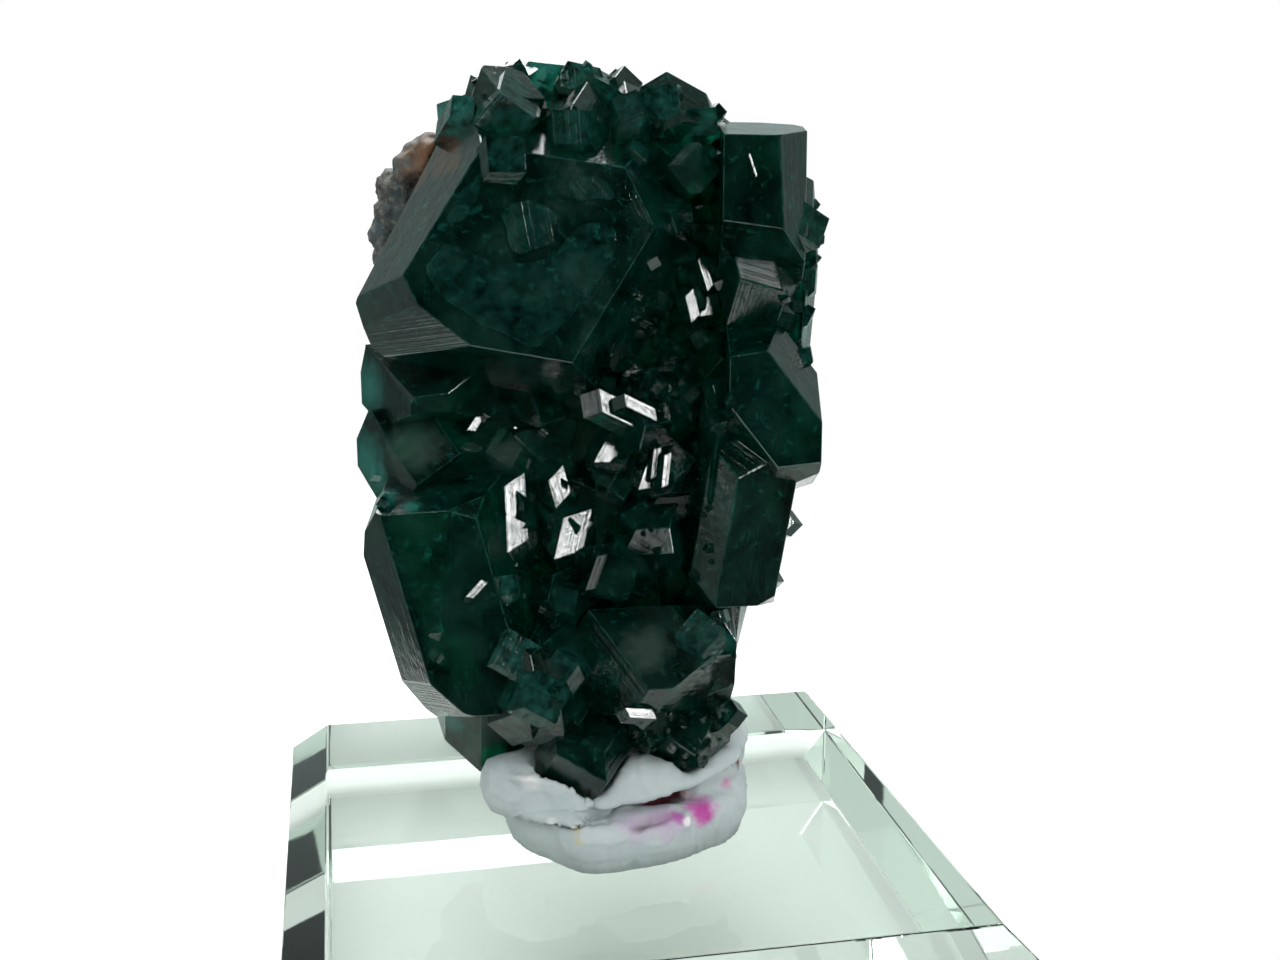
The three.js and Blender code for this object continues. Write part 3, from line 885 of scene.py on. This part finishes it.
# %% Sow the crust
CLEAN_FACE = 9.0
DEEP = -4.4
LEANING = math.radians(34)
SEED = 8
SUNK_SHARE = 0.5
STRETCH = (1.3, 2.0)
FRONT, BACK, RIGHT, ABOVE = (0, -1, 0), (0, 1, 0), (1, 0, 0), (0, 0, 1)
# side, lowest and highest place along the two window axes, number, smallest and largest radius
WINDOWS = [
    (FRONT, (-3.5, 6.3), (41.5, 53.0), 170, 0.2, 0.85),
    (FRONT, (-7.8, 5.5), (28.5, 42.0), 120, 0.15, 0.5),
    (ABOVE, (-8.0, 6.0), (-2.0, 7.0), 40, 0.25, 0.6),
    (FRONT, (-7.0, 5.5), (54.5, 58.5), 24, 0.15, 0.4),
    (RIGHT, (-5.0, 7.0), (40.0, 54.0), 90, 0.3, 0.9),
    (FRONT, (0.3, 6.3), (20.5, 24.0), 60, 0.2, 0.5),
    (BACK, (-12.0, 10.0), (22.0, 58.0), 150, 0.4, 1.2),
]


def window_ray(side, first, second):
    """Start and aim of a ray through a window, on the cluster."""
    if side in (FRONT, BACK):
        return (first, side[1] * FAR, second), (first, 0, second)
    if side == RIGHT:
        return (FAR, first, second), (0, first, second)
    return (first, second, FAR), (first, second, 0)


def sow(piece):
    """Draws the small crystals on the piece's present surface."""
    chance = random.Random(SEED)
    tree = tree_of(piece)
    areas = [face.area / MM**2 for face in piece.data.polygons]
    placed = []
    for side, across, along, number, smallest, largest in WINDOWS:
        for _ in range(number):
            hit = aim(tree, *window_ray(side, chance.uniform(*across), chance.uniform(*along)))
            lean = Vector([chance.uniform(-1, 1) for _ in range(3)]) * math.sin(LEANING)
            spin = chance.uniform(0, math.tau)
            radius = smallest + (largest - smallest) * chance.random() ** 2
            stretch = chance.uniform(*STRETCH)
            if hit is None:
                continue
            point, normal, face = hit
            in_hollow = side == FRONT and (TURN.inverted() @ point).y > DEEP * MM
            if areas[face] > CLEAN_FACE and not in_hollow:
                continue
            axis = (normal + lean).normalized()
            place = point - axis * radius * SUNK_SHARE * MM
            placed.append((place, axis, spin, radius * MM, radius * stretch * MM))
    return placed


plain_tree = tree_of(crystals)
small_ones = sow(crystals)
groups = batches_of(small_ones)
for number, group in enumerate(groups):
    fuse(crystals, batch_mesh("batch_%d" % number, group))
print(len(small_ones), "small crystals in", len(groups), "batches")
print(len(crystals.data.polygons), "faces, open edges:", open_edges(crystals))

# %% [markdown]
# Next come the middle-sized crystals that give the specimen its character: the round-looking one at
# the upper left, the humps on the top right, the stack of shifted blocks below the hollow and the
# knobs down the right edge. Each has a place, a size and three turns: lean to the right, nod to the
# viewer, and spin about its own axis. Paleness says how much of the deep green it lacks: it is
# painted light, which makes a crystal paler where the light catches it and shines through it.

# %% Middle-sized crystals
BLOCKS = [
    # right, up, depth of its middle, radius, half length, lean, nod, spin, paleness
    (-5.7, 57.7, 0.9, 1.95, 2.1, -20, 62, 12, 0.25),
    (-8.5, 57.0, 0.2, 1.1, 1.9, 35, 20, 0, 0.55),
    (-3.9, 59.0, 0.9, 1.1, 1.5, 60, 15, 20, 0.5),
    (-2.2, 59.0, 0.8, 0.9, 1.3, -50, 20, 40, 0.35),
    (-0.9, 58.6, 0.9, 1.5, 1.7, -15, 55, 30, 0.25),
    (-2.3, 56.6, 0.8, 1.5, 1.9, 30, 45, 10, 0.2),
    (-5.9, 55.1, 0.7, 1.6, 2.0, 40, 30, 25, 0.15),
    (0.8, 57.2, 0.6, 1.2, 1.8, 10, 20, 0, 0.15),
    (2.4, 57.7, 1.0, 1.6, 2.2, 32, 40, 15, 0.3),
    (4.5, 56.9, 0.9, 1.25, 1.7, 40, 35, 30, 0.25),
    (1.0, 55.3, 0.5, 0.9, 1.1, -20, 60, 10, 0.15),
    (3.9, 54.5, 0.7, 1.6, 1.8, 85, 10, 12, 0.05),
    (2.9, 52.2, 0.5, 1.1, 1.3, 10, 75, 0, 0.1),
    (-3.0, 31.0, 0.6, 1.2, 1.6, 50, 40, 20, 0.1),
    (-0.3, 32.7, 0.8, 1.7, 1.9, 70, 25, 35, 0.0),
    (-5.6, 28.0, 0.5, 1.8, 1.9, 62, 20, 8, 0.3),
    (-4.5, 26.2, 0.6, 1.8, 2.2, 72, 12, 25, 0.3),
    (-2.7, 27.2, 0.5, 1.3, 1.7, -20, 18, 15, 0.25),
    (4.8, 28.9, 0.8, 1.6, 2.1, -8, 12, 28, 0.2),
    (1.4, 25.4, 0.4, 0.9, 1.2, -30, 50, 0, 0.1),
    (5.9, 29.5, 0.6, 0.6, 1.0, 10, 30, 0, 0.6),
    (10.6, 48.3, 0.8, 1.0, 1.2, 40, 30, 10, 0.15),
    (9.9, 51.5, 1.2, 1.5, 1.8, 70, 10, 25, 0.15),
    (10.1, 46.2, 0.8, 1.0, 1.5, 60, 20, 0, 0.1),
    (10.3, 44.4, 0.7, 0.7, 1.0, 30, 35, 20, 0.2),
    (-3.2, 40.0, 0.6, 1.2, 1.5, 65, 40, 20, 0.0),
    (4.2, 45.6, 0.6, 1.1, 1.4, 30, 50, 10, 0.0),
    (1.9, 47.4, 0.6, 1.2, 1.5, -50, 35, 20, 0.0),
    (1.3, 35.3, 0.6, 1.3, 1.6, 15, 40, 35, 0.05),
    (4.2, 34.6, 0.6, 1.0, 1.5, -15, 30, 0, 0.0),
    (-5.5, 37.7, 0.6, 1.3, 1.5, 40, 50, 0, 0.0),
    (3.1, 31.1, 0.5, 1.0, 1.4, 80, 30, 15, 0.05),
    (-13.4, 37.7, 0.4, 0.6, 0.8, 40, 20, 10, 0.6),
    (-12.4, 36.8, 0.3, 0.5, 0.8, -30, 40, 0, 0.6),
    (-11.0, 36.7, 0.2, 0.35, 0.5, 60, 30, 20, 0.7),
    (-9.9, 29.7, 0.4, 0.6, 0.9, 20, 25, 0, 0.2),
    (-9.8, 28.2, 0.4, 0.5, 0.9, -25, 35, 15, 0.2),
    (-6.2, 31.7, 0.5, 0.9, 1.4, 25, 25, 12, 0.45),
    (-6.4, 38.8, 0.7, 1.5, 1.7, 62, 30, 5, 0.2),
]


def block_mesh(name, place, radius, half_length, turns, paleness):
    """A crystal about a place, with its turns in degrees."""
    lean, nod, spin = [math.radians(angle) for angle in turns]
    turn = TURN.to_3x3() @ Matrix.Rotation(lean, 3, "Y") @ Matrix.Rotation(nod, 3, "X")
    turn = turn @ Matrix.Rotation(spin, 3, "Z")
    corners = [place + turn @ corner * MM for corner in crystal_corners(radius, half_length)]
    return crystal_mesh(name, corners, paleness)


for number, (right, up, sunk, radius, half_length, *turns, paleness) in enumerate(BLOCKS):
    middle = front_hit(plain_tree, right, up)[0] + on_cluster(0, sunk, 0)
    fuse(crystals, block_mesh("block_%d" % number, middle, radius, half_length, turns, paleness))
print(len(BLOCKS), "middle-sized crystals, open edges:", open_edges(crystals))

# %% [markdown]
# The large face at the upper left grew in stages: a low curved step crosses it, with a smaller round
# one above. Each is a thin plate. Its outline is given by a few places on the front, rounded by
# cutting its corners, frayed a little, aimed at the face, and the plate is fused to the cluster.
# Its rim and top are painted paler, as a painted highlight along the step.

# %% Growth steps on the large face
PLATES = [
    # how far it stands out, then its outline as places right and up
    (
        0.2,
        [(-10.2, 49.6), (-9.5, 48.3), (-5.4, 45.7), (-3.5, 45.4), (0.6, 50.6), (-0.2, 52.2),
         (-1.8, 52.2), (-2.7, 51.1), (-3.5, 50.0), (-5.7, 49.7), (-7.5, 50.4), (-9.0, 51.2)],
    ),
    (
        0.15,
        [(-6.0, 52.4), (-5.4, 53.0), (-4.4, 53.2), (-3.3, 52.8), (-2.9, 51.9), (-3.25, 50.9),
         (-4.1, 50.4), (-5.3, 50.4), (-5.9, 51.3)],
    ),
    (0.07, [(-9.0, 52.0), (-8.3, 53.6), (-6.6, 54.9), (-6.9, 53.2), (-8.0, 51.9)]),
    (0.07, [(-2.4, 53.0), (-1.0, 53.3), (0.2, 53.0), (-0.6, 54.2), (-2.2, 54.4)]),
]
PLATE_ROOT = 0.4
PLATE_SLOPE = 0.06
# painted highlight: how much paler the rim and the top of a plate are painted
PLATE_RIM_HIGHLIGHT, PLATE_TOP_HIGHLIGHT = 0.28, 0.08
PLATE_FRAY, FRAY_SIZE = 0.3, 0.9
# the second direction reads the noise this far aside, so that it differs from the first
ASIDE = Vector((0, 0, 7.5))


def cut_corners(outline, rounds=2):
    """Rounds an outline by replacing every corner with two, a quarter of the way along its sides."""
    for _ in range(rounds):
        softer = []
        for here, there in zip(outline, outline[1:] + outline[:1]):
            softer.append(here.lerp(there, 0.25))
            softer.append(here.lerp(there, 0.75))
        outline = softer
    return outline


def frayed_place(place):
    """A place on an outline, moved a little, because no growth step has a smooth edge."""
    spot = Vector((*place, 0)) / FRAY_SIZE
    return place + PLATE_FRAY * Vector((noise.noise(spot), noise.noise(spot + ASIDE)))


def plate_mesh(name, tree, rise, outline):
    """A closed plate on the face that the outline is aimed at, with sloping sides."""
    places = [frayed_place(place) for place in cut_corners([Vector(place) for place in outline])]
    hits = [front_hit(tree, place.x, place.y) for place in places]
    normal = hits[0][1]
    middle = sum((hit[0] for hit in hits), Vector()) / len(hits)
    foot = [hit[0] - normal * PLATE_ROOT * MM for hit in hits]
    head = [hit[0].lerp(middle, PLATE_SLOPE) + normal * rise * MM for hit in hits]
    count = len(hits)
    rings = [(i, (i + 1) % count, count + (i + 1) % count, count + i) for i in range(count)]
    faces = [tuple(reversed(range(count))), tuple(range(count, 2 * count))] + rings
    mesh = bpy.data.meshes.new(name)
    mesh.from_pydata(foot + head, [], faces)
    # Painted highlight: the rim and the top are painted paler.
    for face in mesh.polygons[2:]:
        face.material_index = round(PLATE_RIM_HIGHLIGHT * PALE_STEPS)
    mesh.polygons[1].material_index = round(PLATE_TOP_HIGHLIGHT * PALE_STEPS)
    with editing(mesh) as shape:
        bmesh.ops.recalc_face_normals(shape, faces=shape.faces)
    return mesh


for number, (rise, outline) in enumerate(PLATES):
    fuse(crystals, plate_mesh("plate_%d" % number, plain_tree, rise, outline))
print(len(PLATES), "growth steps, open edges:", open_edges(crystals))

# %% [markdown]
# A handful of facets in the hollow flash white, because they lie just right between the viewer and
# the light at the front right. Each of these is a small crystal with one side turned that way: the
# side's normal is halfway between the directions to the camera and to the light. They are listed
# by their place on the front, in millimetres, with the width and height of the side and its lean.

# %% Flashing crystals
FLASH_DEPTH, FLASH_SHOWS = 0.9, 0.25
SIDE_SHARE = math.cos(math.radians(30))
FLASHES = [
    # right, up, width, height, lean in degrees
    (-6.0, 35.5, 1.9, 2.6, -4),
    (-3.3, 36.9, 1.1, 0.9, 10),
    (-3.3, 35.7, 1.0, 0.9, -15),
    (-2.5, 34.3, 1.5, 1.5, -20),
    (0.4, 41.6, 1.1, 2.2, 62),
    (1.3, 42.0, 0.6, 1.5, 62),
    (-0.2, 39.3, 1.1, 1.4, -35),
    (2.2, 38.7, 0.4, 1.7, -12),
    (2.75, 38.3, 0.35, 1.6, -12),
    (1.8, 37.7, 0.7, 1.0, -25),
    (4.45, 39.0, 0.35, 1.3, 8),
    (4.9, 49.0, 0.4, 1.5, 14),
    (4.2, 47.2, 0.6, 1.1, 10),
    (5.2, 47.1, 0.6, 0.8, -25),
    (-7.6, 32.2, 0.35, 1.2, -50),
    (-8.0, 40.5, 0.4, 0.7, -40),
    (5.6, 42.6, 0.4, 1.3, 15),
    (1.35, 25.6, 0.5, 1.2, 80),
    (7.15, 54.9, 0.12, 1.1, 16),
]


def flash_axis(place, lean):
    """Axis of a crystal at a place, and the normal of its side that mirrors the light."""
    to_camera = (CAMERA_PLACE - place).normalized()
    lamp = CLUSTER_MIDDLE + on_cluster(*SPARK_SIDE).normalized() * SPARK_DISTANCE * MM
    normal = (to_camera + (lamp - place).normalized()).normalized()
    upright = (Vector((0, 0, 1)) - normal * normal.z).normalized()
    return Matrix.Rotation(math.radians(lean), 3, normal) @ upright, normal


def flash_mesh(name, place, width, height, lean):
    """A six-sided crystal with one flat side that shows."""
    axis, normal = flash_axis(place, lean)
    turn = Matrix((axis.cross(normal), -normal, axis)).transposed()
    centre = place + normal * (FLASH_SHOWS - FLASH_DEPTH) * MM
    half_length = height / 2 + STEEP_POINT * width
    corners = []
    for corner in crystal_corners(width, half_length):
        corner.y *= FLASH_DEPTH / (width * SIDE_SHARE)
        corners.append(centre + turn @ corner * MM)
    return crystal_mesh(name, corners)


front_tree = tree_of(crystals)
for number, (right, up, width, height, lean) in enumerate(FLASHES):
    place = front_hit(front_tree, right, up)[0]
    fuse(crystals, flash_mesh("flash_%d" % number, place, width, height, lean))
print(len(FLASHES), "flashing crystals, open edges:", open_edges(crystals))

# %% [markdown]
# The small crystals on the very top may not stand higher than the specimen is, so whatever is above
# that height is pressed down to it.

# %% Keep the height


def keep_height(piece):
    """Moves every corner above the solids' top down to it."""
    high = [vertex for vertex in piece.data.vertices if vertex.co.z > solids_high.z]
    for vertex in high:
        vertex.co.z = solids_high.z
    print(len(high), "corners pressed down")


keep_height(crystals)

# %% [markdown]
# Two marks on every face tell the material what it is. Until now the number of a face's material
# has carried its paleness through all the joining, and it becomes the mark paleness. The mark
# across points square to the face's longest side, so that growth lines run along the crystal
# whichever way it leans.

# %% Mark the faces


def mark_faces(piece):
    """Writes the marks paleness and across, and leaves one material on the piece."""
    mesh = piece.data
    pale = mesh.attributes.new("paleness", "FLOAT", "FACE")
    across = mesh.attributes.new("across", "FLOAT_VECTOR", "FACE")
    for face in mesh.polygons:
        corners = [mesh.vertices[index].co for index in face.vertices]
        sides = [corners[number] - corners[number - 1] for number in range(len(corners))]
        longest = max(sides, key=lambda side: side.length)
        pale.data[face.index].value = face.material_index / PALE_STEPS
        across.data[face.index].vector = face.normal.cross(longest).normalized()
        face.material_index = 0
        face.use_smooth = False
    mesh.materials.clear()
    mesh.materials.append(DIOPTASE)
    print(sum(1 for face in pale.data if face.value > 0), "pale faces of", len(mesh.polygons))


mark_faces(crystals)

# %% [markdown]
# Putty is soft, and here it shows how it was pushed about: broad dents from kneading, fine wrinkles,
# and a seam that rises to the right between two layers. The upper layer hangs over the seam. The
# lower one draws back to both sides of a sharp upright fold. At the right the seam opens into a slit,
# and torn flaps stick out. Each of these is a small formula that says how far the surface moves at a
# place on the front. Formulas are easier to place by millimetres than sculpting by hand.

# %% How the putty is pushed about
DENT, DENT_SIZE = 0.3, 3.2
WRINKLE, WRINKLE_SIZE, WRINKLE_SHARPNESS = 0.09, 1.5, 7
SEAM_UP, SEAM_RISE, SEAM_WAVE = 19.25, 0.17, 0.12
SEAM_WIDTH, SEAM_DEPTH = 0.15, 0.5
OVERHANG, OVERHANG_HEIGHT = 0.45, 0.9
LOWER_LAYER_BACK, FRONT_FROM, FRONT_RUN = 1.6, 1.5, 6.0
FOLD_RIGHT, FOLD_LEFT_RUN, FOLD_RIGHT_RUN, FOLD_HEIGHT = -1.9, 4.5, 7.0, 1.1
SLIT_MIDDLE, SLIT_HALF_LENGTH, SLIT_BELOW, SLIT_WIDTH, SLIT_DEPTH = 2.8, 2.1, 0.5, 0.42, 1.5
FLAPS = [
    # right, up, width, height, how far it stands out
    (4.05, 18.6, 0.25, 0.65, 0.6),
    (-5.0, 20.9, 1.3, 0.22, 0.5),
    (-3.5, 18.6, 0.6, 0.15, 0.3),
    (6.9, 19.6, 0.35, 1.0, 0.6),
    (5.4, 18.6, 0.3, 0.5, 0.25),
]


def bell(distance, width):
    """1 at no distance, falling smoothly to 0 over the width."""
    return math.exp(-((distance / width) ** 2))


def fold(distance):
    """1 at the fold's edge, falling evenly to both sides."""
    run = FOLD_LEFT_RUN if distance < 0 else FOLD_RIGHT_RUN
    return max(0.0, 1 - abs(distance) / run)


def above_seam(place):
    """How far a place on the cluster is above the seam between the layers, in millimetres."""
    wave = noise.noise(Vector((place.x, 0, 0))) + 0.5 * noise.noise(place * 3)
    return place.z - SEAM_UP - SEAM_RISE * place.x - SEAM_WAVE * wave


def slit_at(place, normal):
    """How much of the slit is at a place: 1 in its middle, 0 outside."""
    along = max(0.0, 1 - ((place.x - SLIT_MIDDLE) / SLIT_HALF_LENGTH) ** 2)
    return along * bell(above_seam(place) + SLIT_BELOW, SLIT_WIDTH) * max(0.0, -normal.y)


def kneaded(place, normal):
    """How far the surface moves out at a place on the cluster, in millimetres."""
    front = max(0.0, -normal.y)
    above = above_seam(place)
    push = DENT * noise.noise(place / DENT_SIZE)
    push += WRINKLE * max(0.0, 1 - WRINKLE_SHARPNESS * abs(noise.noise(place / WRINKLE_SIZE)))
    if above > 0:
        push += OVERHANG * bell(above, OVERHANG_HEIGHT)
    push -= SEAM_DEPTH * bell(above, SEAM_WIDTH) + SLIT_DEPTH * slit_at(place, normal)
    for right, up, width, height, rise in FLAPS:
        push += rise * front * bell(place.x - right, width) * bell(place.z - up, height)
    return push


def drawn_back(place):
    """How far the lower layer draws back from the viewer, in millimetres: least at the fold."""
    if above_seam(place) > 0:
        return 0.0
    share = min(1.0, max(0.0, (-place.y - FRONT_FROM) / FRONT_RUN))
    return share * (LOWER_LAYER_BACK - FOLD_HEIGHT * fold(place.x - FOLD_RIGHT))


print("putty:", len(FLAPS), "flaps, slit", 2 * SLIT_HALF_LENGTH, "mm long")

# %% [markdown]
# To take such fine shapes, the coarse solid is first rebuilt from small even squares and smoothed.
# Then every corner moves. The foot creeps down onto the block, where the solids keep a small gap.
# Now that the surface is known, the stains and painted highlights find their depth by a ray from the
# front.

# %% Knead the putty
PUTTY_GRID = 0.17
SMOOTHING_ROUNDS, SMOOTHING = 14, 0.5
BLOCK_TOP = 16.0
FOOT_GAP = 0.3
FOOT_CLEARANCE = 0.02
UNDERSIDE = -0.3


def remesh(piece, grid):
    """Rebuilds the piece from small even squares."""
    squares = piece.modifiers.new("squares", "REMESH")
    squares.mode = "VOXEL"
    squares.voxel_size = grid * MM
    apply_modifiers(piece)


def smooth_out(piece, rounds):
    """Evens out whatever is smaller than a few squares."""
    even = piece.modifiers.new("even", "SMOOTH")
    even.factor = SMOOTHING
    even.iterations = rounds
    apply_modifiers(piece)


def move_corners(mesh, places):
    """Moves every corner to its new place and shades the surface smooth."""
    for vertex, place in zip(mesh.vertices, places):
        vertex.co = place
    for face in mesh.polygons:
        face.use_smooth = True


def knead(piece):
    """Moves every corner along its normal, marks the slit, and sets the foot down on the block."""
    mesh = piece.data
    slit = mesh.attributes.new("slit", "FLOAT", "POINT")
    back_turn = TURN.inverted().to_3x3()
    low = (BLOCK_TOP + FOOT_CLEARANCE) * MM
    moved = []
    for vertex in mesh.vertices:
        spot, normal = back_turn @ vertex.co / MM, back_turn @ vertex.normal
        slit.data[vertex.index].value = min(1.0, 2 * slit_at(spot, normal))
        place = vertex.co + vertex.normal * kneaded(spot, normal) * MM
        place += on_cluster(0, drawn_back(spot), 0)
        on_foot = vertex.normal.z < UNDERSIDE and vertex.co.z < low + 2 * FOOT_GAP * MM
        place.z = low if on_foot else max(place.z, low)
        moved.append(place)
    move_corners(mesh, moved)


remesh(putty, PUTTY_GRID)
smooth_out(putty, SMOOTHING_ROUNDS)
knead(putty)
putty_tree = tree_of(putty)
for node, (right, up, *_) in zip(stain_and_highlight_nodes, STAINS_AND_HIGHLIGHTS):
    node.inputs["Place"].default_value = front_hit(putty_tree, right, up)[0]
print("putty:", len(putty.data.polygons), "faces")

# %% [markdown]
# The rock is rounded lumps with a skin of tiny beads. It is remeshed as well, swollen enough to touch
# the crystals, and pitted.

# %% Roughen the rock
ROCK_GRID = 0.17
ROCK_SWELL = 0.1
BEAD, BEAD_SIZE = 0.2, 0.8
PIT, PIT_SIZE = 0.25, 0.9


def roughen(piece):
    """Beads and pits along each corner's normal."""
    mesh = piece.data
    moved = []
    for vertex in mesh.vertices:
        place = vertex.co / MM
        nearest = noise.voronoi(place / BEAD_SIZE)[0][0]
        beads = BEAD * (0.5 - nearest)
        pits = PIT * noise.fractal(place / PIT_SIZE, 1.0, 2.0, 3)
        moved.append(vertex.co + vertex.normal * (ROCK_SWELL + beads + pits) * MM)
    move_corners(mesh, moved)


remesh(rock, ROCK_GRID)
roughen(rock)
print("rock:", len(rock.data.polygons), "faces")

# %% [markdown]
# Polished blocks have slightly softened edges, which is where their bright lines come from.

# %% Soften the block's edges
BLOCK_EDGE, BLOCK_EDGE_STEPS, ROUND = 0.12, 3, 0.5

with editing(block.data) as shape:
    bevel(shape, list(shape.edges), BLOCK_EDGE, BLOCK_EDGE_STEPS, profile=ROUND, clamp_overlap=True)
print("block:", len(block.data.polygons), "faces")
